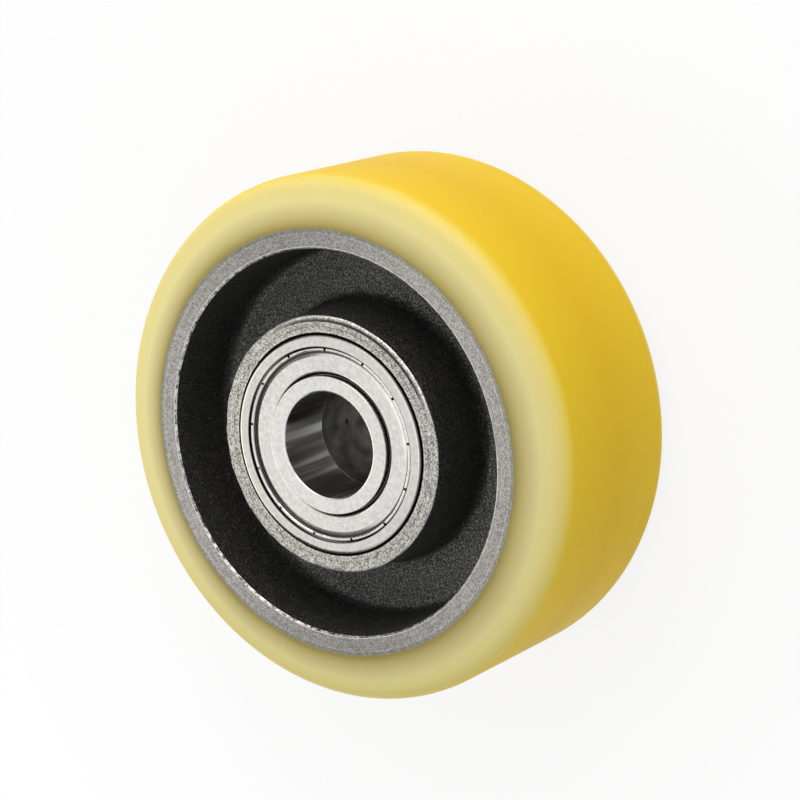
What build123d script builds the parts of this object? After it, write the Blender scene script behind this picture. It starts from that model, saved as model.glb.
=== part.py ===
from build123d import *
import os
from math import radians, tan

# Support wheel with a bonded polyurethane tyre, a cast iron hub and two shielded ball bearings.
# It stands on its back face. The axle runs along +Z and the origin is at the bottom centre.
# All sizes are in millimetres and degrees.

# Hub casting
hub_width = 50.0
rim_wall = 4.9
boss_wall = 4.3
web_thickness = 12.0
seat_shoulder = 4.0
casting_draft = 3.0
casting_fillet = 3.0
boss_edge_radius = 0.5
rim_edge_chamfer = 0.4
seat_chamfer = 0.4

# Tyre
tread_diameter = 125.0
tyre_thickness = 11.9
tyre_side_drop = 2.9
tyre_corner_radius = 4.5

# Bearing, standard size 25 x 52 x 15
bearing_bore = 25.0
bearing_section = 13.5
bearing_width = 15.0
bearing_proud = 0.6
outer_corner_radius = 0.9
bore_corner_radius = 0.6
outer_ring_wall = 4.25
inner_ring_wall = 4.7
inner_step_wall = 3.8
inner_step_depth = 1.9
edge_break = 0.15
ball_diameter = 7.938
ball_count = 9
ball_circle_offset = 0.27
ball_play = 0.05
raceway_slack = 0.159

# Seat for the shield in the outer ring
shield_seat_wall = 2.85
shield_seat_depth = 1.6
crimp_lip = 0.5
crimp_undercut = 0.3

# Shield, pressed from thin sheet, heights counted from the bearing's face
shield_thickness = 0.3
shield_running_gap = 0.6
shield_bead_width = 0.9
shield_bead_crown = 0.1
shield_bead_gap = 0.25
shield_bead_depth = 0.4
shield_flat_depth = 0.95
shield_trough_width = 0.5
shield_slope_width = 0.7
shield_lip_length = 0.5
shield_bend_radius = 0.35
notch_count = 13
notch_width = 0.55
notch_reach = 0.7
notch_depth = 0.7
notch_phase = 5.7

# Cage, two pressed halves held by rivets
cage_thickness = 0.8
cage_side_gap = 0.7
pocket_play = 0.1
rivet_shank_diameter = 1.1
rivet_head_diameter = 2.0
rivet_head_height = 0.45
rivet_head_rounding = 0.4

# Spacer tube between the inner rings
spacer_clearance = 0.5
spacer_wall = 3.0
spacer_chamfer = 0.8

# Places along the axle
wheel_length = hub_width + 2 * bearing_proud
middle_height = wheel_length / 2
bearing_offset = (wheel_length - bearing_width) / 2
seat_depth = bearing_width - bearing_proud

# Radii that several pieces share
rim_radius = tread_diameter / 2 - tyre_thickness
bore_radius = bearing_bore / 2
bearing_radius = bore_radius + bearing_section
outer_land_radius = bearing_radius - outer_ring_wall
inner_shoulder_radius = bore_radius + inner_ring_wall
shield_seat_radius = bearing_radius - shield_seat_wall
ball_radius = ball_diameter / 2
pitch_radius = (bore_radius + bearing_radius) / 2 + ball_circle_offset
groove_radius = ball_radius + raceway_slack
cage_inner_radius = inner_shoulder_radius + cage_side_gap
cage_outer_radius = outer_land_radius - cage_side_gap
pocket_radius = ball_radius + pocket_play


def turned(corners):
    """Solid of revolution about the axle from (radius, height, corner radius) round its outline."""
    outline = FilletPolyline(
        [(radius, height) for radius, height, _ in corners],
        radius=[corner for _, _, corner in corners],
        close=True,
    )
    return revolve(Plane.XZ * make_face(outline), axis=Axis.Z)


def turned_alike(half_outline):
    """Turned piece whose two sides are alike, from the outline of its upper side."""
    lower_side = [(radius, -height, corner) for radius, height, corner in reversed(half_outline)]
    return turned(half_outline + lower_side)


def make_hub_casting():
    """Rim, web and boss cast in one, with bearing seats bored from both sides."""
    face = hub_width / 2
    web_face = web_thickness / 2
    core_radius = bearing_radius - seat_shoulder
    boss_radius = bearing_radius + boss_wall
    rim_inner_radius = rim_radius - rim_wall
    taper = tan(radians(casting_draft)) * (face - web_face)
    return turned_alike(
        [
            (core_radius, face - seat_depth, 0),
            (bearing_radius, face - seat_depth, 0),
            (bearing_radius, face - seat_chamfer, 0),
            (bearing_radius + seat_chamfer, face, 0),
            (boss_radius, face, boss_edge_radius),
            (boss_radius + taper, web_face, casting_fillet),
            (rim_inner_radius - taper, web_face, casting_fillet),
            (rim_inner_radius, face - rim_edge_chamfer, 0),
            (rim_inner_radius + rim_edge_chamfer, face, 0),
            (rim_radius, face, 0),
        ]
    )


def make_tyre():
    """Polyurethane ring cast on the rim, with sloping sides and rounded tread corners."""
    face = hub_width / 2
    return turned_alike(
        [
            (rim_radius, face, 0),
            (tread_diameter / 2, face - tyre_side_drop, tyre_corner_radius),
        ]
    )


def make_spacer_tube():
    """Tube that keeps the inner rings apart, chamfered inside at both ends."""
    end = wheel_length / 2 - bearing_width
    inner_radius = bore_radius + spacer_clearance
    return turned_alike(
        [
            (inner_radius, end - spacer_chamfer, 0),
            (inner_radius + spacer_chamfer, end, 0),
            (inner_radius + spacer_wall, end, edge_break),
        ]
    )


def raceway(side):
    """Ring-shaped cutter for a raceway: side is 1 in the outer ring and -1 in the inner ring."""
    bottom_radius = pitch_radius + side * (ball_radius + ball_play)
    return Torus(bottom_radius - side * groove_radius, groove_radius)


def make_outer_ring():
    """Outer ring with its raceway and, on each side, the undercut seat of a shield."""
    face = bearing_width / 2
    ring = turned_alike(
        [
            (outer_land_radius, face - shield_seat_depth, edge_break),
            (shield_seat_radius + crimp_undercut, face - shield_seat_depth, 0),
            (shield_seat_radius + crimp_undercut, face - crimp_lip - crimp_undercut, 0),
            (shield_seat_radius, face - crimp_lip, 0),
            (shield_seat_radius, face, edge_break),
            (bearing_radius, face, outer_corner_radius),
        ]
    )
    return ring - raceway(1)


def make_inner_ring():
    """Inner ring with its raceway and, on each side, the step that clears a shield's lip."""
    face = bearing_width / 2
    step_radius = bore_radius + inner_step_wall
    ring = turned_alike(
        [
            (bore_radius, face, bore_corner_radius),
            (step_radius, face, edge_break),
            (step_radius, face - inner_step_depth, 0),
            (inner_shoulder_radius, face - inner_step_depth, edge_break),
        ]
    )
    return ring - raceway(-1)


def make_shield():
    """Pressed shield for the upper side: notched bead, slope, flat and turned-down inner lip."""
    face = bearing_width / 2
    sheet = shield_thickness
    bead_outer = shield_seat_radius - shield_bead_gap
    bead_inner = bead_outer - shield_bead_width
    slope_outer = bead_inner - shield_trough_width
    flat_outer = slope_outer - shield_slope_width
    lip_radius = bore_radius + inner_step_wall + shield_running_gap
    bead_top = face - shield_bead_depth
    flat_top = face - shield_flat_depth
    foot = face - shield_seat_depth
    trough_top = foot + sheet
    bead_bend = (shield_bead_width - shield_bead_crown) / 2
    shield = turned(
        [
            (bead_outer, foot, 0),
            (bead_outer, bead_top, bead_bend),
            (bead_inner, bead_top, bead_bend),
            (bead_inner, trough_top, edge_break),
            (slope_outer, trough_top, 0),
            (flat_outer, flat_top, shield_bend_radius),
            (lip_radius, flat_top, shield_bend_radius + sheet),
            (lip_radius, flat_top - sheet - shield_lip_length, 0),
            (lip_radius + sheet, flat_top - sheet - shield_lip_length, 0),
            (lip_radius + sheet, flat_top - sheet, shield_bend_radius),
            (flat_outer, flat_top - sheet, 0),
            (slope_outer, foot, 0),
            (bead_inner + sheet, foot, 0),
            (bead_inner + sheet, bead_top - sheet, 0),
            (bead_outer - sheet, bead_top - sheet, 0),
            (bead_outer - sheet, foot, 0),
        ]
    )
    notch = Box(2 * notch_reach, notch_width, 2 * notch_depth)
    notches = PolarLocations(bead_outer, notch_count, start_angle=notch_phase)
    return shield - Pos(0, 0, bead_top) * notches * notch


def make_cage_half():
    """Upper half of the cage: a flat band with a rounded pocket over each ball."""
    pocket_outer = pocket_radius + cage_thickness
    band = Cylinder(cage_outer_radius, pocket_outer, align=(Align.CENTER, Align.CENTER, Align.MIN))
    band -= Cylinder(cage_inner_radius, pocket_outer, align=(Align.CENTER, Align.CENTER, Align.MIN))
    plate = Cylinder(cage_outer_radius, cage_thickness, align=(Align.CENTER, Align.CENTER, Align.MIN))
    balls = PolarLocations(pitch_radius, ball_count)
    pressed = plate + balls * Sphere(pocket_outer)
    rivets = PolarLocations(pitch_radius, ball_count, start_angle=180 / ball_count)
    half = (pressed & band) - balls * Sphere(pocket_radius)
    return half - rivets * Cylinder(rivet_shank_diameter / 2, 4 * cage_thickness)


def make_rivet():
    """Cage rivet with a domed head on each side."""
    head_radius = rivet_head_diameter / 2
    shank_radius = rivet_shank_diameter / 2
    top = cage_thickness + rivet_head_height
    return turned_alike(
        [
            (shank_radius, cage_thickness, 0),
            (head_radius, cage_thickness, 0),
            (head_radius, top, rivet_head_rounding),
            (0, top, 0),
        ]
    )


def bearing_pieces():
    """All the pieces of one bearing about its own middle, as (name, shape) pairs."""
    shield = make_shield()
    cage_half = make_cage_half()
    rivets = PolarLocations(pitch_radius, ball_count, start_angle=180 / ball_count) * make_rivet()
    pieces = [
        ("outer_ring", make_outer_ring()),
        ("inner_ring", make_inner_ring()),
        ("outer_shield", shield),
        ("inner_shield", mirror(shield, about=Plane.XY)),
        ("cage_outer_half", cage_half),
        ("cage_inner_half", mirror(cage_half, about=Plane.XY)),
        ("cage_rivets", Compound(children=list(rivets))),
    ]
    for number, place in enumerate(PolarLocations(pitch_radius, ball_count), start=1):
        pieces.append((f"ball_{number}", place * Sphere(ball_radius)))
    return pieces


def write_part(name, shape):
    """Write one sub-part to its own file."""
    export_step(shape, f"parts/{name}.step")


os.makedirs("parts", exist_ok=True)

write_part("hub_casting", Pos(0, 0, middle_height) * make_hub_casting())
write_part("tyre", Pos(0, 0, middle_height) * make_tyre())
write_part("spacer_tube", Pos(0, 0, middle_height) * make_spacer_tube())

front_place = Pos(0, 0, middle_height + bearing_offset)
back_place = Pos(0, 0, middle_height - bearing_offset) * Rot(180, 0, 0)
for side, place in (("front", front_place), ("back", back_place)):
    for name, shape in bearing_pieces():
        write_part(f"{side}_{name}", place * shape)
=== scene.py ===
from math import atan2, cos, degrees, hypot, pi, radians, sin, tan

import bmesh
import bpy
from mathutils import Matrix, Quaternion, Vector


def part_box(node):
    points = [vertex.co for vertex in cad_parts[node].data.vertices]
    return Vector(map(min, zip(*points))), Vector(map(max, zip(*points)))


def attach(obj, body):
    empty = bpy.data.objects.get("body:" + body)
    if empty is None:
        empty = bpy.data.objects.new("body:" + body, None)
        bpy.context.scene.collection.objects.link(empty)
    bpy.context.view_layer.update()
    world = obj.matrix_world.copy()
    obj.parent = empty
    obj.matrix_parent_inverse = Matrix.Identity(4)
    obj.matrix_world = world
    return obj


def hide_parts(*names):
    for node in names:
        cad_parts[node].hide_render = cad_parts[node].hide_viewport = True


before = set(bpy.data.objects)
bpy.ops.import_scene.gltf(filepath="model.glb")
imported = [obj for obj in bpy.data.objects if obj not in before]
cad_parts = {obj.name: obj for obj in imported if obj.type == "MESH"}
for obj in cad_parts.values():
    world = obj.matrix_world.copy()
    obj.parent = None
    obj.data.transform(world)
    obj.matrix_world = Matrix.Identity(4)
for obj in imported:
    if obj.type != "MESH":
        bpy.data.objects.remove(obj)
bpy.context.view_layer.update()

# Looks of the support wheel. Sizes are in millimetres, and MM turns them to Blender's metres.
# Angles are in degrees, apart from the few that are named as radians. The wheel's own heights are
# counted from its middle plane.
MM = 0.001

# Sizes taken from the frame
hub_low, hub_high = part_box("hub_casting")
_, tyre_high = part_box("tyre")
ring_low, ring_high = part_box("front_outer_ring")
MIDDLE = (hub_low.z + hub_high.z) / 2 / MM
FACE = (hub_high.z - hub_low.z) / 2 / MM
RIM_RADIUS = hub_high.x / MM
TREAD_RADIUS = tyre_high.x / MM
SEAT_RADIUS = ring_high.x / MM
SEAT_DEPTH = FACE - (ring_low.z / MM - MIDDLE)
BEARING_FACE = ring_high.z / MM - MIDDLE

# Sizes of the casting, repeated from its drawing
RIM_WALL = 4.9
BOSS_WALL = 4.3
WEB_FACE = 6.0
SEAT_SHOULDER = 4.0
DRAFT = 3.0
FILLET = 3.0
BOSS_EDGE = 0.5
EDGE_CHAMFER = 0.4
BOSS_RADIUS = SEAT_RADIUS + BOSS_WALL
RIM_INNER = RIM_RADIUS - RIM_WALL
TAPER = tan(radians(DRAFT)) * (FACE - WEB_FACE)

# Width of the painted highlight line at the rim's inner edge
BRIGHT_LINE_WIDTH = 0.16

# The skin's lumps and grit, and the depth over which they fade out below the rim's face
LUMP_HEIGHT = 0.5
LUMP_WIDTH = 5
GRIT_HEIGHT = 0.2
GRIT_WIDTH = 1.6
SKIN_FADE = 2

# How high above the web the walls' painted shade is full, and up to what height the web's painted
# light is full
FULL_WALL_SHADE = 1.0
FULL_WEB_LIGHT = 0.35

# The hub's finishes, in the order of its material slots
SKIN, RIM_FACE, BOSS_FACE, SEAT, CHAMFER, BRIGHT_LINE = range(6)

# The front boss face's outer band, which the facing tool only partly reached. Counted inwards from
# the boss's edge, it starts at LIP_INNER with a narrow step down and rises a little at LIP_MIDDLE.
LIP_INNER = 1.35
LIP_STEP = 0.06
LIP_MIDDLE = 0.65

# The band's depth, the share of it left outside LIP_MIDDLE, and its reach down the rounded edge
LIP_DEPTH = 0.4
LIP_OUTER_SHARE = 0.6
LIP_FOOT = 0.4

# The angle of the band's middle, how far from there it fades out, the share of it above which its
# outer part is rough too, and how far its border wanders
LIP_ANGLE = -42.0
LIP_SPREAD = 48.0
LIP_FAINT = 0.3
BAND_SHIFT = 0.5

# Sizes of the tyre, and the thin flash that it leaves over the rim's edge
SIDE_DROP = 2.9
CORNER_RADIUS = 4.5
FLASH_ROOT = 0.1
FLASH_WIDTH = 0.35
FLASH_HEIGHT = 0.03

# Colours of the tyre along its outline, by the millimetres from its bond with the rim: painted shade
# darkens it near the bond, a painted sheen leaves the sides pale, and the tread has its own deep
# yellow
TYRE_COLOURS_WITH_PAINTED_LIGHT = (
    (0, "#a3914c"),
    (1, "#b6a561"),
    (3, "#cfbf80"),
    (7.5, "#ede09b"),
    (12.5, "#f1de8a"),
    (15.5, "#f3da66"),
    (18, "#f3cb16"),
)
MIDDLE_TREAD_COLOUR = "#ecbf02"
COLOUR_SHIFT = 2

# Where the duller tread begins and is fully dull, on the same scale
DULLING_START = 16
DULLING_END = 18.5

# Where the tyre thins out and its resin stains the iron, beyond the rim's radius, and how far
# these ragged borders wander
THINNING = (0.35, 0.8)
STAINING = (-0.3, 0.9)
RAGGED_SHIFT = 1.6

# Notches in the shield's bead: the angle of the first and the radius where they start
NOTCH_COUNT = 13
NOTCH_PHASE = 5.7
NOTCH_START = 22.15
NOTCH_HALF_WIDTH = 0.31
NOTCH_HALF_RADIANS = NOTCH_HALF_WIDTH / NOTCH_START

# Bore of the standard bearing, and where its honed finish begins to fade and ends beyond it
BORE_RADIUS = 12.5
HONING_FADE = 0.05
HONING_END = 0.15

# The painted shade in the bearings' grooves and gaps and the depth over which it fades, and a spot of
# grease on the tube in the same dark colour
GREASE_AND_SHADE_COLOUR = "#0e0d0c"
SHADE_FADE = 0.3
GREASE_PLACE = (3.9, 12.4, 0.4)
GREASE_RADIUS = 0.9
GREASE_FULL = 0.4

# How finely the new pieces are cut: round the axle, over rounded edges and across the web
TURNED_STEPS = 288
CORNER_STEPS = 10
EDGE_STEPS = 4
FILLET_STEPS = 6
WEB_CUTS = 8

# How near counts as the same place, and the margins by which a test reaches past what it wants
NEAR = 0.02
SLACK = 0.1
WEB_SLACK = 0.5
WALL_SLACK = 1

# The photograph's viewpoint
CAMERA_PLACE = (0, -380.2, 518.7)
CAMERA_AIM = (4.1, -24.2, 51.2)
CAMERA_ROLL = -109.4
CAMERA_LENS = 117.67
SENSOR_WIDTH = 36
NEAREST_SEEN = 10
FARTHEST_SEEN = 20000

# The studio's white walls and floor: how bright they are as light, and where the floor turns white
WORLD_LIGHT = 0.54
WORLD_TINT = (0.96, 1, 1.04, 1)
WHITE = (1, 1, 1, 1)
FLOOR_SIZE = 6000
FLOOR_GAP = 0.2
FLOOR_LIFT = 0.84
SHADOW_END = 80
WHITE_START = 200

# The dark card, a strip of a cylinder round the wheel between two angles
FLAG_STEPS = 96
FLAG_RADIUS = 1000
FLAG_HEIGHT = 780
FLAG_START = 30
FLAG_END = 140

# The lamps: name, direction from the wheel, distance in millimetres, power in watts and colour
LAMP_SIZE = 600
LAMPS = (
    ("key_lamp", (0.77, -0.44, 0.47), 800, 3.1, (1, 0.95, 0.85)),
    ("left_lamp", (0.17, 0.92, 0.34), 900, 2.2, (1, 0.97, 0.86)),
    ("top_lamp", (0, 0, 1), 900, 0.5, (1, 1, 1)),
)

# The colour inputs and output of a mix node, by number because its other kinds share their names
COLOUR_ONE = 6
COLOUR_TWO = 7
MIXED_COLOUR = 2


# Modelling


def deselect_all():
    """Leave nothing selected, so that an operator acts on the new piece alone."""
    bpy.ops.object.select_all(action="DESELECT")


def select_alone(piece):
    """Select one piece and make it the active one."""
    deselect_all()
    piece.select_set(True)
    bpy.context.view_layer.objects.active = piece


def turned_piece(name, outline):
    """Model a turned piece: a circle at the first corner, extruded from corner to corner."""
    deselect_all()
    radius, height = outline[0]
    bpy.ops.mesh.primitive_circle_add(
        vertices=TURNED_STEPS, radius=radius * MM, location=(0, 0, (MIDDLE + height) * MM)
    )
    piece = bpy.context.object
    piece.name = piece.data.name = name
    bpy.ops.object.transform_apply(location=True, rotation=True, scale=True)
    bpy.ops.object.mode_set(mode="EDIT")
    bpy.ops.mesh.select_all(action="SELECT")
    for next_radius, next_height in outline[1:] + outline[:1]:
        share = next_radius / radius
        bpy.ops.mesh.extrude_edges_move()
        bpy.ops.transform.resize(value=(share, share, 1), center_override=(0, 0, 0))
        bpy.ops.transform.translate(value=(0, 0, (next_height - height) * MM))
        radius, height = next_radius, next_height
    bpy.ops.mesh.select_all(action="SELECT")
    bpy.ops.mesh.remove_doubles(threshold=NEAR / 2 * MM)
    bpy.ops.mesh.normals_make_consistent(inside=False)
    bpy.ops.object.mode_set(mode="OBJECT")
    return piece


def both_sides(half):
    """Whole outline from its upper half, whose lower side is alike."""
    return half + [(radius, -height) for radius, height in reversed(half)]


def place_of(point):
    """Radius, height and angle in radians of a mesh point."""
    return hypot(point.x, point.y) / MM, point.z / MM - MIDDLE, atan2(point.y, point.x)


def select_edges(piece, wanted):
    """Select the edges for whose two ends wanted says yes. Leaves the piece in edit mode."""
    bpy.ops.object.mode_set(mode="EDIT")
    bpy.ops.mesh.select_mode(type="EDGE")
    bpy.ops.mesh.select_all(action="DESELECT")
    mesh = bmesh.from_edit_mesh(piece.data)
    for edge in mesh.edges:
        edge.select = wanted(place_of(edge.verts[0].co), place_of(edge.verts[1].co))
    bmesh.update_edit_mesh(piece.data)


def on_circle(radius, height):
    """Test for an edge that lies on a circle about the axle."""

    def wanted(start, end):
        return all(abs(r - radius) < NEAR and abs(h - height) < NEAR for r, h, _ in (start, end))

    return wanted


def along_outline(low_radius, high_radius, low_height, high_height):
    """Test for an edge that runs along the outline and has its middle inside a box of it."""
    same_radians = 0.001

    def wanted(start, end):
        turn = abs(start[2] - end[2])
        if min(turn, 2 * pi - turn) > same_radians:
            return False
        radius, height = (start[0] + end[0]) / 2, (start[1] + end[1]) / 2
        return low_radius < radius < high_radius and low_height < height < high_height

    return wanted


def round_edge(piece, radius, height, width, steps):
    """Round the edge that lies on one circle."""
    select_edges(piece, on_circle(radius, height))
    bpy.ops.mesh.bevel(offset=width * MM, offset_type="OFFSET", segments=steps, affect="EDGES")
    bpy.ops.object.mode_set(mode="OBJECT")


def cut_span(piece, box, cuts):
    """Cut a stretch of the outline into more loops."""
    select_edges(piece, along_outline(*box))
    bpy.ops.mesh.subdivide(number_cuts=cuts)
    bpy.ops.object.mode_set(mode="OBJECT")


def smooth(piece, angle):
    """Shade a piece smooth, apart from edges sharper than the angle."""
    select_alone(piece)
    bpy.ops.object.shade_smooth_by_angle(angle=radians(angle))


def displace(piece, name, height, weight, grain=None):
    """Move the surface by clouds of one grain, or else straight along the axle.
    Weight says for a radius, height and angle how much of the movement a point takes."""
    group = piece.vertex_groups.new(name=name)
    for vertex in piece.data.vertices:
        group.add([vertex.index], weight(*place_of(vertex.co)), "REPLACE")
    mover = piece.modifiers.new(name, "DISPLACE")
    mover.vertex_group = name
    mover.strength = height * MM
    if grain:
        clouds = bpy.data.textures.new(name, "CLOUDS")
        clouds.noise_scale = grain * MM
        clouds.noise_depth = 2
        mover.texture = clouds
        mover.texture_coords = "LOCAL"
    else:
        mover.direction = "Z"
        mover.mid_level = 0
    select_alone(piece)
    bpy.ops.object.modifier_apply(modifier=name)
    piece.vertex_groups.remove(piece.vertex_groups[name])


# Materials


def colour(code):
    """Linear colour from an sRGB hex code."""
    parts = [int(code[i : i + 2], 16) / 255 for i in (1, 3, 5)]
    return [p / 12.92 if p <= 0.04045 else ((p + 0.055) / 1.055) ** 2.4 for p in parts] + [1]


def add(tree, kind, sockets=None, stops=None, **settings):
    """Add a shader node. A socket's value is a constant, or (node, output) to link from.
    Stops are a colour ramp's (place, colour) pairs, from low to high."""
    node = tree.nodes.new(kind)
    for key, value in settings.items():
        setattr(node, key, value)
    for key, value in (sockets or {}).items():
        if isinstance(value, tuple) and isinstance(value[0], bpy.types.Node):
            tree.links.new(value[0].outputs[value[1]], node.inputs[key])
        else:
            node.inputs[key].default_value = value
    if stops:
        elements = node.color_ramp.elements
        while len(elements) < len(stops):
            elements.new(1)
        for element, (place, tint) in zip(elements, stops):
            element.position = place
            element.color = tint
    return node


def new_material(name):
    """An empty node material, with its tree."""
    material = bpy.data.materials.new(name)
    material.use_nodes = True
    material.node_tree.nodes.clear()
    return material, material.node_tree


def finish_material(tree, **sockets):
    """Close a material with a Principled shader. Underscores in a socket's name stand for spaces."""
    named = {key.replace("_", " "): value for key, value in sockets.items()}
    shader = add(tree, "ShaderNodeBsdfPrincipled", named)
    add(tree, "ShaderNodeOutputMaterial", {"Surface": (shader, "BSDF")})


def grain_scale(size):
    """Scale of a noise texture whose grains are this many millimetres wide."""
    return 1 / (size * MM)


def wheel_place(tree):
    """Object coordinates with the origin on the axle at the wheel's middle."""
    coords = add(tree, "ShaderNodeTexCoord")
    return add(
        tree,
        "ShaderNodeMapping",
        {"Vector": (coords, "Object"), "Location": (0, 0, -MIDDLE * MM)},
    )


def radius_and_height(tree, place):
    """Distance from the axle and distance from the middle plane, in metres."""
    across = add(tree, "ShaderNodeVectorMath", {0: (place, 0), 1: (1, 1, 0)}, operation="MULTIPLY")
    radius = add(tree, "ShaderNodeVectorMath", {0: (across, 0)}, operation="LENGTH")
    parts = add(tree, "ShaderNodeSeparateXYZ", {0: (place, 0)})
    height = add(tree, "ShaderNodeMath", {0: (parts, "Z")}, operation="ABSOLUTE")
    return (radius, "Value"), (height, "Value")


def ragged_share(tree, place, radius, grain, detail, start, end):
    """Share that grows from nought to one with a ragged border, between a start and an end
    that are counted from the rim's radius."""
    ragged = add(
        tree,
        "ShaderNodeTexNoise",
        {"Vector": (place, 0), "Scale": grain_scale(grain), "Detail": detail},
    )
    shifted = add(
        tree,
        "ShaderNodeMath",
        {0: (ragged, "Fac"), 1: RAGGED_SHIFT * MM, 2: radius},
        operation="MULTIPLY_ADD",
    )
    return add(
        tree,
        "ShaderNodeMapRange",
        {
            "Value": (shifted, 0),
            "From Min": (RIM_RADIUS + start) * MM,
            "From Max": (RIM_RADIUS + end) * MM,
        },
    )


def cast_polyurethane():
    """Cast polyurethane: a little milky and deep yellow, with a painted sheen that leaves the sides
    pale and painted shade near the rim.
    """
    material, tree = new_material("cast_polyurethane")
    place = wheel_place(tree)
    radius, height = radius_and_height(tree, place)
    # The walk grows from the bond with the rim, over the side and the corner, to the middle of the
    # tread. Clouds 40 mm wide shift it, because the colour of a cast tyre drifts that slowly.
    walk = add(tree, "ShaderNodeMath", {0: radius, 1: height}, operation="SUBTRACT")
    start = RIM_RADIUS - FACE
    span = TREAD_RADIUS - start
    cloud = add(
        tree, "ShaderNodeTexNoise", {"Vector": (place, 0), "Scale": grain_scale(40), "Detail": 2}
    )
    drift = add(
        tree,
        "ShaderNodeMath",
        {0: (cloud, "Fac"), 1: COLOUR_SHIFT * MM, 2: (walk, 0)},
        operation="MULTIPLY_ADD",
    )
    share = add(
        tree,
        "ShaderNodeMapRange",
        {
            "Value": (drift, 0),
            "From Min": (start + COLOUR_SHIFT / 2) * MM,
            "From Max": (TREAD_RADIUS + COLOUR_SHIFT / 2) * MM,
        },
    )
    # The ramp paints shade near the bond with the rim and a pale sheen on the sides, over the tyre's
    # own yellow
    stops = [(walked / span, colour(code)) for walked, code in TYRE_COLOURS_WITH_PAINTED_LIGHT]
    stops.append((1, colour(MIDDLE_TREAD_COLOUR)))
    yellow_with_painted_light = add(tree, "ShaderNodeValToRGB", {"Fac": (share, 0)}, stops)
    # Where it thins out over the rim's edge, the iron's grains of 0.7 mm show through
    thick = ragged_share(tree, place, radius, 0.7, 3, *THINNING)
    tint = add(
        tree,
        "ShaderNodeMix",
        {0: (thick, 0), COLOUR_ONE: colour("#a19c8c"), COLOUR_TWO: (yellow_with_painted_light, "Color")},
        data_type="RGBA",
    )
    # The tread is turned to size after casting, so it is duller than the sides
    dull = add(
        tree,
        "ShaderNodeMapRange",
        {
            "Value": (walk, 0),
            "From Min": (start + DULLING_START) * MM,
            "From Max": (start + DULLING_END) * MM,
            "To Min": 0.4,
            "To Max": 0.52,
        },
    )
    finish_material(
        tree,
        Base_Color=(tint, MIXED_COLOUR),
        Roughness=(dull, 0),
        IOR=1.5,
        Specular_IOR_Level=0.25,
        Subsurface_Weight=0.25,
        Subsurface_Radius=(1.0, 0.6, 0.2),
        Subsurface_Scale=2.5 * MM,
    )
    return material


def sand_cast_skin():
    """Black sand-cast iron skin: a rough grain that glints where the light catches it, painted darker
    on the walls as shade and lighter on the web as lit.
    """
    material, tree = new_material("sand_cast_skin")
    place = wheel_place(tree)
    # Moulding sand of about 0.35 mm leaves the grain, and clumps of it leave pits of 0.7 mm
    grit = add(
        tree, "ShaderNodeTexNoise", {"Vector": (place, 0), "Scale": grain_scale(0.35), "Detail": 2}
    )
    pits = add(tree, "ShaderNodeTexVoronoi", {"Vector": (place, 0), "Scale": grain_scale(0.7)})
    rough = add(
        tree,
        "ShaderNodeMath",
        {0: (pits, "Distance"), 1: 0.5, 2: (grit, "Fac")},
        operation="MULTIPLY_ADD",
    )
    wall = add(
        tree,
        "ShaderNodeValToRGB",
        {"Fac": (grit, "Fac")},
        [(0.4, colour("#0c0c0c")), (0.53, colour("#1b1b1a")), (0.66, colour("#5d5c57"))],
    )
    web = add(
        tree,
        "ShaderNodeValToRGB",
        {"Fac": (grit, "Fac")},
        [(0.36, colour("#181818")), (0.5, colour("#3f3f3d")), (0.63, colour("#a3a29a"))],
    )
    # Painted shade on the steep walls and painted light on the web leave the web greyer than the
    # walls
    _, height = radius_and_height(tree, place)
    lit_web_share = add(
        tree,
        "ShaderNodeMapRange",
        {
            "Value": height,
            "From Min": (WEB_FACE + FULL_WALL_SHADE) * MM,
            "From Max": (WEB_FACE + FULL_WEB_LIGHT) * MM,
        },
    )
    tint = add(
        tree,
        "ShaderNodeMix",
        {0: (lit_web_share, 0), COLOUR_ONE: (wall, "Color"), COLOUR_TWO: (web, "Color")},
        data_type="RGBA",
    )
    bump = add(
        tree, "ShaderNodeBump", {"Height": (rough, 0), "Strength": 1.0, "Distance": 0.3 * MM}
    )
    finish_material(
        tree, Base_Color=(tint, MIXED_COLOUR), Roughness=0.42, IOR=1.5, Normal=(bump, "Normal")
    )
    return material


def faced_iron(name, grain, dark, light, contrast, brushed, edge=None):
    """Grey iron faced on a lathe: open grain, a matt sheen and faint rings from the tool.
    Brushed says how far the rings spread a highlight outwards from the axle, and edge is a
    function that changes the colour near the face's outer edge."""
    material, tree = new_material(name)
    place = wheel_place(tree)
    radius, _ = radius_and_height(tree, place)
    # The iron's real pores are 0.05 to 0.3 mm wide, and the grain is drawn coarser so that it shows
    pores = add(
        tree,
        "ShaderNodeTexNoise",
        {"Vector": (place, 0), "Scale": grain_scale(grain), "Detail": 3},
    )
    # The tool's rings are 0.1 to 0.2 mm apart, drawn 0.5 mm wide so that they show
    rings = add(
        tree,
        "ShaderNodeTexNoise",
        {"W": radius, "Scale": grain_scale(0.5), "Detail": 2},
        noise_dimensions="1D",
    )
    mixed = add(
        tree,
        "ShaderNodeMath",
        {0: (rings, "Fac"), 1: 0.3, 2: (pores, "Fac")},
        operation="MULTIPLY_ADD",
    )
    # The mix lies about 0.65: on average the pores give 0.5 and the rings 0.15
    average = 0.65
    iron = add(
        tree,
        "ShaderNodeValToRGB",
        {"Fac": (mixed, 0)},
        [(average - contrast, colour(dark)), (average + contrast, colour(light))],
    )
    tint = (iron, "Color")
    if edge:
        tint = edge(tree, place, radius, tint)
    bump = add(
        tree, "ShaderNodeBump", {"Height": (mixed, 0), "Strength": 0.5, "Distance": 0.05 * MM}
    )
    # The rings run round the axle, and the highlight spreads across them, a quarter turn away
    around = add(tree, "ShaderNodeTangent", direction_type="RADIAL", axis="Z")
    finish_material(
        tree,
        Base_Color=tint,
        Roughness=0.45,
        Metallic=0.85,
        Anisotropic=brushed,
        Anisotropic_Rotation=0.25,
        Tangent=(around, "Tangent"),
        Normal=(bump, "Normal"),
    )
    return material


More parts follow.
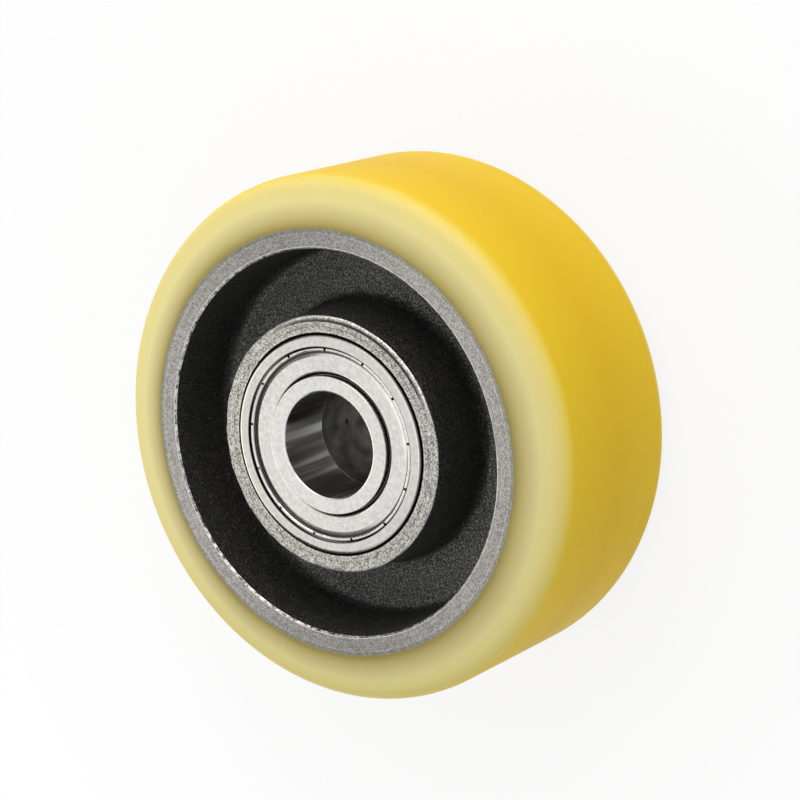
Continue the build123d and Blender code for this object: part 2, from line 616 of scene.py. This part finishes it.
def resin_stain(tree, place, radius, tint):
    """Ragged olive stain where the cast tyre's resin has crept over the rim's edge."""
    # Runs of resin about 1 mm wide
    share = ragged_share(tree, place, radius, 1, 4, *STAINING)
    stained = add(
        tree,
        "ShaderNodeMix",
        {0: (share, 0), COLOUR_ONE: tint, COLOUR_TWO: colour("#857f66")},
        data_type="RGBA",
    )
    return stained, MIXED_COLOUR


def near_lip(tree, place, radius, ragged):
    """One near the torn lip's angle on the front, fading to nought away from it."""
    middle = (cos(radians(LIP_ANGLE)), sin(radians(LIP_ANGLE)), 0)
    along = add(
        tree, "ShaderNodeVectorMath", {0: (place, 0), 1: middle}, operation="DOT_PRODUCT"
    )
    # The cosine of the angle from the lip's middle, made ragged
    facing = add(tree, "ShaderNodeMath", {0: (along, "Value"), 1: radius}, operation="DIVIDE")
    facing = add(
        tree,
        "ShaderNodeMath",
        {0: (ragged, "Fac"), 1: 0.3, 2: (facing, 0)},
        operation="MULTIPLY_ADD",
    )
    side = add(
        tree, "ShaderNodeMapRange", {"Value": (facing, 0), "From Min": 0.75, "From Max": 0.95}
    )
    parts = add(tree, "ShaderNodeSeparateXYZ", {0: (place, 0)})
    front = add(tree, "ShaderNodeMath", {0: (parts, "Z"), 1: 0}, operation="GREATER_THAN")
    return add(tree, "ShaderNodeMath", {0: (side, 0), 1: (front, 0)}, operation="MULTIPLY")


def torn_band(tree, place, radius, tint):
    """Darker scraped band and bright torn lip at the boss's edge, strongest at one angle, with a
    painted shadow along the band's inner step.
    """
    # Tears in the iron about 1.2 mm long
    ragged = add(
        tree, "ShaderNodeTexNoise", {"Vector": (place, 0), "Scale": grain_scale(1.2), "Detail": 4}
    )
    side = near_lip(tree, place, radius, ragged)
    shifted = add(
        tree,
        "ShaderNodeMath",
        {0: (ragged, "Fac"), 1: BAND_SHIFT * MM, 2: radius},
        operation="MULTIPLY_ADD",
    )
    across = add(
        tree,
        "ShaderNodeMapRange",
        {
            "Value": (shifted, 0),
            "From Min": (BOSS_RADIUS - LIP_INNER) * MM,
            "From Max": (BOSS_RADIUS + BAND_SHIFT) * MM,
        },
    )
    beyond = add(
        tree, "ShaderNodeMapRange", {"Value": (across, 0), "From Min": 0.02, "From Max": 0.12}
    )
    side = add(tree, "ShaderNodeMath", {0: (side, 0), 1: (beyond, 0)}, operation="MULTIPLY")
    # The dark stop near the band's inner edge is a painted shadow below its step
    band = add(
        tree,
        "ShaderNodeValToRGB",
        {"Fac": (across, 0)},
        [
            (0.12, colour("#a5a4a0")),
            (0.2, colour("#5c5b58")),
            (0.42, colour("#7d7b77")),
            (0.55, colour("#c9c7c2")),
            (0.75, colour("#f2f0ec")),
        ],
    )
    # Pores of 0.3 mm break the band up
    specks = add(
        tree, "ShaderNodeTexNoise", {"Vector": (place, 0), "Scale": grain_scale(0.3), "Detail": 2}
    )
    speckled = add(
        tree,
        "ShaderNodeValToRGB",
        {"Fac": (specks, "Fac")},
        [(0.4, colour("#9a9894")), (0.56, colour("#ffffff"))],
    )
    band = add(
        tree,
        "ShaderNodeMix",
        {0: 1.0, COLOUR_ONE: (band, "Color"), COLOUR_TWO: (speckled, "Color")},
        data_type="RGBA",
        blend_type="MULTIPLY",
    )
    torn = add(
        tree,
        "ShaderNodeMix",
        {0: (side, 0), COLOUR_ONE: tint, COLOUR_TWO: (band, MIXED_COLOUR)},
        data_type="RGBA",
    )
    return torn, MIXED_COLOUR


def outside_notches(tree, place, radius):
    """One on the shield's open metal and nought inside the notches of its bead, which take painted
    shade.
    """
    parts = add(tree, "ShaderNodeSeparateXYZ", {0: (place, 0)})
    angle = add(
        tree, "ShaderNodeMath", {0: (parts, "Y"), 1: (parts, "X")}, operation="ARCTAN2"
    )
    # The back shield's notches run the other way round
    side = add(tree, "ShaderNodeMath", {0: (parts, "Z")}, operation="SIGN")
    turned = add(tree, "ShaderNodeMath", {0: (angle, 0), 1: (side, 0)}, operation="MULTIPLY")
    beat = add(
        tree,
        "ShaderNodeMath",
        {0: (turned, 0), 1: NOTCH_COUNT, 2: -NOTCH_COUNT * radians(NOTCH_PHASE)},
        operation="MULTIPLY_ADD",
    )
    wave = add(tree, "ShaderNodeMath", {0: (beat, 0)}, operation="COSINE")
    edge = cos(NOTCH_COUNT * NOTCH_HALF_RADIANS)
    between = add(tree, "ShaderNodeMath", {0: (wave, 0), 1: edge}, operation="LESS_THAN")
    inner = add(tree, "ShaderNodeMath", {0: radius, 1: NOTCH_START * MM}, operation="LESS_THAN")
    return add(tree, "ShaderNodeMath", {0: (between, 0), 1: (inner, 0)}, operation="MAXIMUM"), 0


def unshaded_share(tree, place, radius, height, unshaded_radii, unshaded_top, notches):
    """Share of a ring or shield in its steel's own colour, the rest being painted shade in its
    grooves and gaps.
    """
    share = add(tree, "ShaderNodeMapRange", {"Value": radius, "From Max": RIM_RADIUS * MM})
    ramp = add(
        tree,
        "ShaderNodeValToRGB",
        {"Fac": (share, 0)},
        [(edge / RIM_RADIUS, (part, part, part, 1)) for edge, part in unshaded_radii],
    )
    unshaded = (ramp, "Color")
    if unshaded_top:
        top = add(
            tree,
            "ShaderNodeMapRange",
            {
                "Value": height,
                "From Min": (BEARING_FACE - unshaded_top - SHADE_FADE) * MM,
                "From Max": (BEARING_FACE - unshaded_top) * MM,
            },
        )
        unshaded = (add(tree, "ShaderNodeMath", {0: unshaded, 1: (top, 0)}, operation="MAXIMUM"), 0)
    if notches:
        outside = outside_notches(tree, place, radius)
        unshaded = (add(tree, "ShaderNodeMath", {0: unshaded, 1: outside}, operation="MINIMUM"), 0)
    return unshaded


def painted_bore_streaks(tree, place):
    """Colour of a bore honed along the axle: dark, with bright streaks along the honing marks, both
    painted reflections.
    """
    # Honing marks are far finer, drawn 3.4 mm wide and 20 times as long so that they show
    along = add(tree, "ShaderNodeMapping", {"Vector": (place, 0), "Scale": (1, 1, 0.05)})
    streaks = add(
        tree, "ShaderNodeTexNoise", {"Vector": (along, 0), "Scale": grain_scale(3.4), "Detail": 2}
    )
    return add(
        tree,
        "ShaderNodeValToRGB",
        {"Fac": (streaks, "Fac")},
        [(0.38, colour("#565552")), (0.54, colour("#8f8e8a")), (0.66, colour("#f4f3f0"))],
    )


def ring_steel(name, dark, light, roughness, unshaded_radii, unshaded_top=0, notches=False):
    """Bearing or sheet steel finished round the axle, with faint lines and stains.
    The list of radii gives (radius, share in the steel's own colour) pairs, the rest being painted
    shade in the grooves and gaps. The painted shade stays out of a top band, a depth from the
    bearing's face, and fills the notches of the shield's bead."""
    material, tree = new_material(name)
    place = wheel_place(tree)
    radius, height = radius_and_height(tree, place)
    # Grinding lines are hundredths of a millimetre apart, drawn 0.25 mm wide so that they show
    walk = add(tree, "ShaderNodeMath", {0: radius, 1: height}, operation="ADD")
    lines = add(
        tree,
        "ShaderNodeTexNoise",
        {"W": (walk, 0), "Scale": grain_scale(0.25), "Detail": 3},
        noise_dimensions="1D",
    )
    # Stains of handling and oil about 1 mm wide
    stains = add(
        tree, "ShaderNodeTexNoise", {"Vector": (place, 0), "Scale": grain_scale(1.1), "Detail": 4}
    )
    mixed = add(
        tree,
        "ShaderNodeMath",
        {0: (lines, "Fac"), 1: 0.6, 2: (stains, "Fac")},
        operation="MULTIPLY_ADD",
    )
    steel = add(
        tree,
        "ShaderNodeValToRGB",
        {"Fac": (mixed, 0)},
        [(0.5, colour(dark)), (1.1, colour(light))],
    )
    # Painted shade fills the grooves, gaps and notches wherever the share of the steel's own colour
    # is below one
    tint = add(
        tree,
        "ShaderNodeMix",
        {
            0: unshaded_share(tree, place, radius, height, unshaded_radii, unshaded_top, notches),
            COLOUR_ONE: colour(GREASE_AND_SHADE_COLOUR),
            COLOUR_TWO: (steel, "Color"),
        },
        data_type="RGBA",
    )
    bore = add(
        tree,
        "ShaderNodeMapRange",
        {
            "Value": radius,
            "From Min": (BORE_RADIUS + HONING_END) * MM,
            "From Max": (BORE_RADIUS + HONING_FADE) * MM,
        },
    )
    # The bore takes painted reflections: dark, with bright streaks
    tint = add(
        tree,
        "ShaderNodeMix",
        {
            0: (bore, 0),
            COLOUR_ONE: (tint, MIXED_COLOUR),
            COLOUR_TWO: (painted_bore_streaks(tree, place), "Color"),
        },
        data_type="RGBA",
    )
    shine = add(
        tree,
        "ShaderNodeMapRange",
        {"Value": (stains, "Fac"), "To Min": roughness - 0.04, "To Max": roughness + 0.04},
    )
    # The bore is rougher than the ground faces
    shine = add(
        tree,
        "ShaderNodeMath",
        {0: (bore, 0), 1: 0.15, 2: (shine, 0)},
        operation="MULTIPLY_ADD",
    )
    bump = add(
        tree, "ShaderNodeBump", {"Height": (lines, "Fac"), "Strength": 0.1, "Distance": 0.01 * MM}
    )
    finish_material(
        tree,
        Base_Color=(tint, MIXED_COLOUR),
        Roughness=(shine, 0),
        Metallic=1.0,
        Normal=(bump, "Normal"),
    )
    return material


def drawn_tube_steel():
    """Drawn steel tube inside: dull grey, clouded with stains, and one spot of grease."""
    material, tree = new_material("drawn_tube_steel")
    place = wheel_place(tree)
    # Oil stains about 4 mm wide
    stains = add(
        tree, "ShaderNodeTexNoise", {"Vector": (place, 0), "Scale": grain_scale(4), "Detail": 5}
    )
    steel = add(
        tree,
        "ShaderNodeValToRGB",
        {"Fac": (stains, "Fac")},
        [(0.35, colour("#3d3c3a")), (0.7, colour("#6f6e6a"))],
    )
    away = add(
        tree,
        "ShaderNodeVectorMath",
        {0: (place, 0), 1: [c * MM for c in GREASE_PLACE]},
        operation="DISTANCE",
    )
    spot = add(
        tree,
        "ShaderNodeMapRange",
        {
            "Value": (away, "Value"),
            "From Min": GREASE_RADIUS * MM,
            "From Max": GREASE_FULL * MM,
        },
    )
    tint = add(
        tree,
        "ShaderNodeMix",
        {0: (spot, 0), COLOUR_ONE: (steel, "Color"), COLOUR_TWO: colour(GREASE_AND_SHADE_COLOUR)},
        data_type="RGBA",
    )
    bump = add(
        tree, "ShaderNodeBump", {"Height": (stains, "Fac"), "Strength": 0.3, "Distance": 0.1 * MM}
    )
    finish_material(
        tree,
        Base_Color=(tint, MIXED_COLOUR),
        Roughness=0.5,
        Metallic=1.0,
        Normal=(bump, "Normal"),
    )
    return material


def clouded_metal(name, dark, light, roughness, metallic=1.0, grain=2.0):
    """Polished, pressed or torn metal, faintly clouded by spots one grain wide."""
    material, tree = new_material(name)
    place = wheel_place(tree)
    # True to size: films of oil are about 2 mm wide and tears in iron 0.9 mm
    cloud = add(
        tree,
        "ShaderNodeTexNoise",
        {"Vector": (place, 0), "Scale": grain_scale(grain), "Detail": 3},
    )
    tint = add(
        tree,
        "ShaderNodeValToRGB",
        {"Fac": (cloud, "Fac")},
        [(0.35, colour(dark)), (0.65, colour(light))],
    )
    bump = add(
        tree, "ShaderNodeBump", {"Height": (cloud, "Fac"), "Strength": 0.1, "Distance": 0.02 * MM}
    )
    finish_material(
        tree,
        Base_Color=(tint, "Color"),
        Roughness=roughness,
        Metallic=metallic,
        Normal=(bump, "Normal"),
    )
    return material


# Pieces


def make_tyre():
    """The tyre: sloping sides, rounded tread corners and a thin flash over the rim's edge."""
    side = FACE - SIDE_DROP
    turn = radians(90) - atan2(SIDE_DROP, TREAD_RADIUS - RIM_RADIUS)
    half = [
        (RIM_RADIUS, FACE - FLASH_ROOT),
        (RIM_RADIUS - FLASH_WIDTH, FACE + FLASH_HEIGHT),
        (RIM_RADIUS + FLASH_WIDTH, FACE),
        (TREAD_RADIUS, side),
    ]
    piece = turned_piece("tyre_cover", both_sides(half))
    for height in (side, -side):
        round_edge(piece, TREAD_RADIUS, height, CORNER_RADIUS * tan(turn / 2), CORNER_STEPS)
    smooth(piece, angle=50)
    return piece


def lip_share(angle):
    """How strongly the boss's outer band is marked off at an angle, given in radians."""
    away = abs((degrees(angle) - LIP_ANGLE + 180) % 360 - 180) / LIP_SPREAD
    return max(0, 1 - away**4)


def lip(radius, height, angle):
    """How far a point of the boss face's outer band lies below the faced part."""
    inner = BOSS_RADIUS - LIP_INNER + LIP_STEP / 2
    if height < FACE - LIP_FOOT or radius < inner or radius > BOSS_RADIUS + SLACK:
        return 0
    return lip_share(angle) * (1 if radius < BOSS_RADIUS - LIP_MIDDLE - SLACK else LIP_OUTER_SHARE)


def skin(radius, height, angle):
    """How much of the casting's roughness a point takes: none on faced and bored places."""
    inner = BOSS_EDGE if lip_share(angle) < LIP_FAINT or height < 0 else LIP_MIDDLE
    if not BOSS_RADIUS - inner - SLACK < radius < RIM_INNER - NEAR / 2:
        return 0
    if radius < (BOSS_RADIUS + RIM_INNER) / 2:
        return 1
    return max(0, min(1, (FACE - EDGE_CHAMFER - abs(height)) / SKIN_FADE))


def shape_hub():
    """The casting's plain shape: the turned outline with its rounded edges, cut fine for the skin."""
    half = [
        (SEAT_RADIUS - SEAT_SHOULDER, FACE - SEAT_DEPTH),
        (SEAT_RADIUS, FACE - SEAT_DEPTH),
        (SEAT_RADIUS, FACE - EDGE_CHAMFER),
        (SEAT_RADIUS + EDGE_CHAMFER, FACE),
        (BOSS_RADIUS - LIP_INNER, FACE),
        (BOSS_RADIUS - LIP_INNER + LIP_STEP, FACE),
        (BOSS_RADIUS - LIP_MIDDLE, FACE),
        (BOSS_RADIUS, FACE),
        (BOSS_RADIUS + TAPER, WEB_FACE),
        (RIM_INNER - TAPER, WEB_FACE),
        (RIM_INNER, FACE - EDGE_CHAMFER),
        (RIM_INNER + EDGE_CHAMFER, FACE),
        (RIM_INNER + EDGE_CHAMFER + BRIGHT_LINE_WIDTH, FACE),
        (RIM_RADIUS, FACE),
    ]
    piece = turned_piece("hub", both_sides(half))
    for side in (1, -1):
        round_edge(piece, BOSS_RADIUS, side * FACE, BOSS_EDGE, EDGE_STEPS)
        round_edge(piece, BOSS_RADIUS + TAPER, side * WEB_FACE, FILLET, FILLET_STEPS)
        round_edge(piece, RIM_INNER - TAPER, side * WEB_FACE, FILLET, FILLET_STEPS)
    # About one cut for each millimetre of the recess's depth
    wall_cuts = int(FACE - WEB_FACE)
    boss_wall = (BOSS_RADIUS - WALL_SLACK, BOSS_RADIUS + TAPER + WALL_SLACK)
    rim_wall = (RIM_INNER - TAPER - WALL_SLACK, RIM_INNER + WALL_SLACK)
    for side in (1, -1):
        heights = sorted((side * (WEB_FACE + FILLET), side * (FACE - BOSS_EDGE)))
        cut_span(piece, (*boss_wall, *heights), wall_cuts)
        cut_span(piece, (*rim_wall, *heights), wall_cuts)
        heights = sorted((side * (WEB_FACE - WEB_SLACK), side * (WEB_FACE + WEB_SLACK)))
        cut_span(piece, (BOSS_RADIUS + TAPER, RIM_INNER - TAPER, *heights), WEB_CUTS)
    return piece


def hub_finish(radius, height):
    """Which of its finishes a face of the hub takes, by the place of the face's middle."""
    chamfer_end = RIM_INNER + EDGE_CHAMFER
    if radius < SEAT_RADIUS + EDGE_CHAMFER:
        return SEAT
    if radius < BOSS_RADIUS and abs(height) > FACE - BOSS_EDGE:
        return BOSS_FACE
    if radius <= RIM_INNER:
        return SKIN
    if radius < chamfer_end:
        return CHAMFER
    return BRIGHT_LINE if radius < chamfer_end + BRIGHT_LINE_WIDTH else RIM_FACE


def make_hub():
    """The casting: rough skin in its two recesses, faced rim and boss, bored seats."""
    piece = shape_hub()
    # The chamfer is iron that the facing tool tore, and the bright line beside it is a painted
    # highlight
    finishes = {
        SKIN: sand_cast_skin(),
        RIM_FACE: faced_iron("faced_rim_iron", 0.4, "#7d7b78", "#b6b4b1", 0.16, 0.8, resin_stain),
        BOSS_FACE: faced_iron("faced_boss_iron", 0.36, "#615f5b", "#d4d2cd", 0.145, 0, torn_band),
        # The seat and its chamfer are painted near black, as the shade in the groove beside the
        # bearing
        SEAT: faced_iron("shaded_seat_iron", 0.5, "#11100f", "#262523", 0.14, 0),
        CHAMFER: clouded_metal("torn_chamfer_iron", "#403f3c", "#dddcd8", 0.4, 0.7, 0.9),
        BRIGHT_LINE: clouded_metal("edge_highlight_iron", "#b9b7b2", "#e9e8e4", 0.35, 0.7),
    }
    for number in sorted(finishes):
        piece.data.materials.append(finishes[number])
    for polygon in piece.data.polygons:
        radius, height, _ = place_of(polygon.center)
        polygon.material_index = hub_finish(radius, height)
    displace(piece, "unfaced_lip", -LIP_DEPTH, lip)
    displace(piece, "casting_lumps", LUMP_HEIGHT, skin, LUMP_WIDTH)
    displace(piece, "casting_grit", GRIT_HEIGHT, skin, GRIT_WIDTH)
    smooth(piece, angle=30)
    return piece


def dress(piece, body, slot, *nodes):
    """Put a finished piece on its body in place of its nodes."""
    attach(piece, body)
    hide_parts(*nodes)


tyre = make_tyre()
tyre.data.materials.append(cast_polyurethane())
dress(tyre, "wheel", "polyurethane_tyre", "tyre")

hub = make_hub()
dress(hub, "wheel", "cast_iron", "hub_casting")

# Finishes of the other nodes, by a word in their names. The pairs of numbers give the share of the
# steel's own colour at a radius: the rings' faces, and the shield's flat, its trough and its bead;
# the rest is painted shade.
outer_unshaded = [(23.14, 0), (23.2, 1), (25.5, 1), (25.75, 0)]
inner_unshaded = [(16.26, 1), (16.29, 0)]
shield_unshaded = [
    (16.91, 0),
    (16.94, 1),
    (21.4, 1),
    (21.5, 0.1),
    (22.06, 0.05),
    (22.14, 1),
    (22.84, 1),
    (22.89, 0),
]
node_finishes = {
    "outer_ring": ring_steel("ground_outer_ring_steel", "#bfbeb9", "#d5d4cf", 0.26, outer_unshaded),
    "inner_ring": ring_steel(
        "ground_inner_ring_steel", "#cac9c5", "#e1e0dc", 0.26, inner_unshaded, unshaded_top=0.9
    ),
    "shield": ring_steel(
        "pressed_shield_steel", "#c5c4c0", "#e1e0dc", 0.24, shield_unshaded, notches=True
    ),
    "ball": clouded_metal("polished_ball_steel", "#c9c8c5", "#dddcd9", 0.1),
    "cage": clouded_metal("pressed_cage_steel", "#8f8b84", "#b5b1aa", 0.35),
    "spacer": drawn_tube_steel(),
}
for name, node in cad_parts.items():
    if node.hide_render:
        continue
    finish = next(finish for word, finish in node_finishes.items() if word in name)
    node.data.materials.clear()
    node.data.materials.append(finish)


# Floor, light and camera


def plain_to_the_eye(tree, rays):
    """One for rays that show the studio to the eye, straight or in a reflection, nought for light."""
    seen = add(
        tree,
        "ShaderNodeMath",
        {0: (rays, "Is Camera Ray"), 1: (rays, "Is Glossy Ray")},
        operation="MAXIMUM",
    )
    return add(
        tree,
        "ShaderNodeMath",
        {0: (seen, 0), 1: (rays, "Is Transmission Ray")},
        operation="MAXIMUM",
    )


def make_floor():
    """A plain pale floor that stays white to the eye and keeps the soft shadow."""
    deselect_all()
    bpy.ops.mesh.primitive_plane_add(size=FLOOR_SIZE * MM, location=(0, 0, -FLOOR_GAP * MM))
    floor = bpy.context.object
    floor.name = "floor"
    material, tree = new_material("pale_floor")
    rays = add(tree, "ShaderNodeLightPath")
    seen = plain_to_the_eye(tree, rays)
    # Away from the wheel the floor grows as white as the studio
    coords = add(tree, "ShaderNodeTexCoord")
    away = add(tree, "ShaderNodeVectorMath", {0: (coords, "Object")}, operation="LENGTH")
    white = add(
        tree,
        "ShaderNodeMapRange",
        {
            "Value": (away, "Value"),
            "From Min": SHADOW_END * MM,
            "From Max": WHITE_START * MM,
            "To Min": FLOOR_LIFT,
            "To Max": 1,
        },
    )
    lift = add(tree, "ShaderNodeMath", {0: (seen, 0), 1: (white, 0)}, operation="MULTIPLY")
    matt = add(tree, "ShaderNodeBsdfDiffuse", {"Color": colour("#f4f4f4")})
    glow = add(tree, "ShaderNodeEmission", {"Color": WHITE, "Strength": 1})
    mix = add(tree, "ShaderNodeMixShader", {0: (lift, 0), 1: (matt, 0), 2: (glow, 0)})
    add(tree, "ShaderNodeOutputMaterial", {"Surface": (mix, 0)})
    floor.data.materials.append(material)


def make_flag():
    """A dark card, bent round one side of the wheel, that gives the bright steel dark reflections."""
    deselect_all()
    bpy.ops.mesh.primitive_circle_add(vertices=FLAG_STEPS, radius=FLAG_RADIUS * MM)
    flag = bpy.context.object
    flag.name = "dark_flag"
    bpy.ops.object.mode_set(mode="EDIT")
    bpy.ops.mesh.select_all(action="SELECT")
    bpy.ops.mesh.extrude_edges_move(TRANSFORM_OT_translate={"value": (0, 0, FLAG_HEIGHT * MM)})
    for limit in (FLAG_START + 90, FLAG_END - 90):
        cut = (cos(radians(limit)), sin(radians(limit)), 0)
        bpy.ops.mesh.select_all(action="SELECT")
        bpy.ops.mesh.bisect(plane_co=(0, 0, 0), plane_no=cut, clear_inner=True)
    bpy.ops.object.mode_set(mode="OBJECT")
    material, tree = new_material("dark_card")
    dark = add(tree, "ShaderNodeEmission", {"Color": colour("#3a3a3a")})
    add(tree, "ShaderNodeOutputMaterial", {"Surface": (dark, 0)})
    flag.data.materials.append(material)
    flag.visible_camera = flag.visible_diffuse = False
    flag.visible_transmission = flag.visible_shadow = False


def make_world():
    """A white studio all round, plain to the eye, and softer and a little cool as light."""
    world = bpy.data.worlds.new("studio")
    bpy.context.scene.world = world
    world.use_nodes = True
    tree = world.node_tree
    tree.nodes.clear()
    rays = add(tree, "ShaderNodeLightPath")
    seen = plain_to_the_eye(tree, rays)
    strength = add(
        tree, "ShaderNodeMapRange", {"Value": (seen, 0), "To Min": WORLD_LIGHT, "To Max": 1}
    )
    tint = add(
        tree,
        "ShaderNodeMix",
        {0: (seen, 0), COLOUR_ONE: WORLD_TINT, COLOUR_TWO: WHITE},
        data_type="RGBA",
    )
    light = add(
        tree, "ShaderNodeBackground", {"Color": (tint, MIXED_COLOUR), "Strength": (strength, 0)}
    )
    add(tree, "ShaderNodeOutputWorld", {"Surface": (light, 0)})


def make_lamp(name, direction, distance, power, tint):
    """A square soft lamp that faces the wheel's front."""
    aim = Vector((0, 0, 2 * MIDDLE * MM))
    lamp_data = bpy.data.lights.new(name, "AREA")
    lamp_data.size = LAMP_SIZE * MM
    lamp_data.energy = power
    lamp_data.color = tint
    lamp = bpy.data.objects.new(name, lamp_data)
    lamp.location = aim + Vector(direction).normalized() * (distance * MM)
    lamp.rotation_mode = "QUATERNION"
    lamp.rotation_quaternion = (aim - lamp.location).to_track_quat("-Z", "Y")
    bpy.context.scene.collection.objects.link(lamp)


def make_camera():
    """The photograph's viewpoint: above the wheel, turned so that the picture's up is near +X."""
    camera_data = bpy.data.cameras.new("camera")
    camera_data.lens = CAMERA_LENS
    camera_data.sensor_width = SENSOR_WIDTH
    camera_data.clip_start = NEAREST_SEEN * MM
    camera_data.clip_end = FARTHEST_SEEN * MM
    camera = bpy.data.objects.new("camera", camera_data)
    camera.location = Vector(CAMERA_PLACE) * MM
    view = (Vector(CAMERA_AIM) - Vector(CAMERA_PLACE)).normalized()
    roll = Quaternion((0, 0, 1), radians(CAMERA_ROLL))
    camera.rotation_mode = "QUATERNION"
    camera.rotation_quaternion = view.to_track_quat("-Z", "Y") @ roll
    bpy.context.scene.collection.objects.link(camera)
    bpy.context.scene.camera = camera


make_floor()
make_flag()
make_world()
for lamp in LAMPS:
    make_lamp(*lamp)
make_camera()
bpy.context.scene.view_settings.view_transform = "Standard"
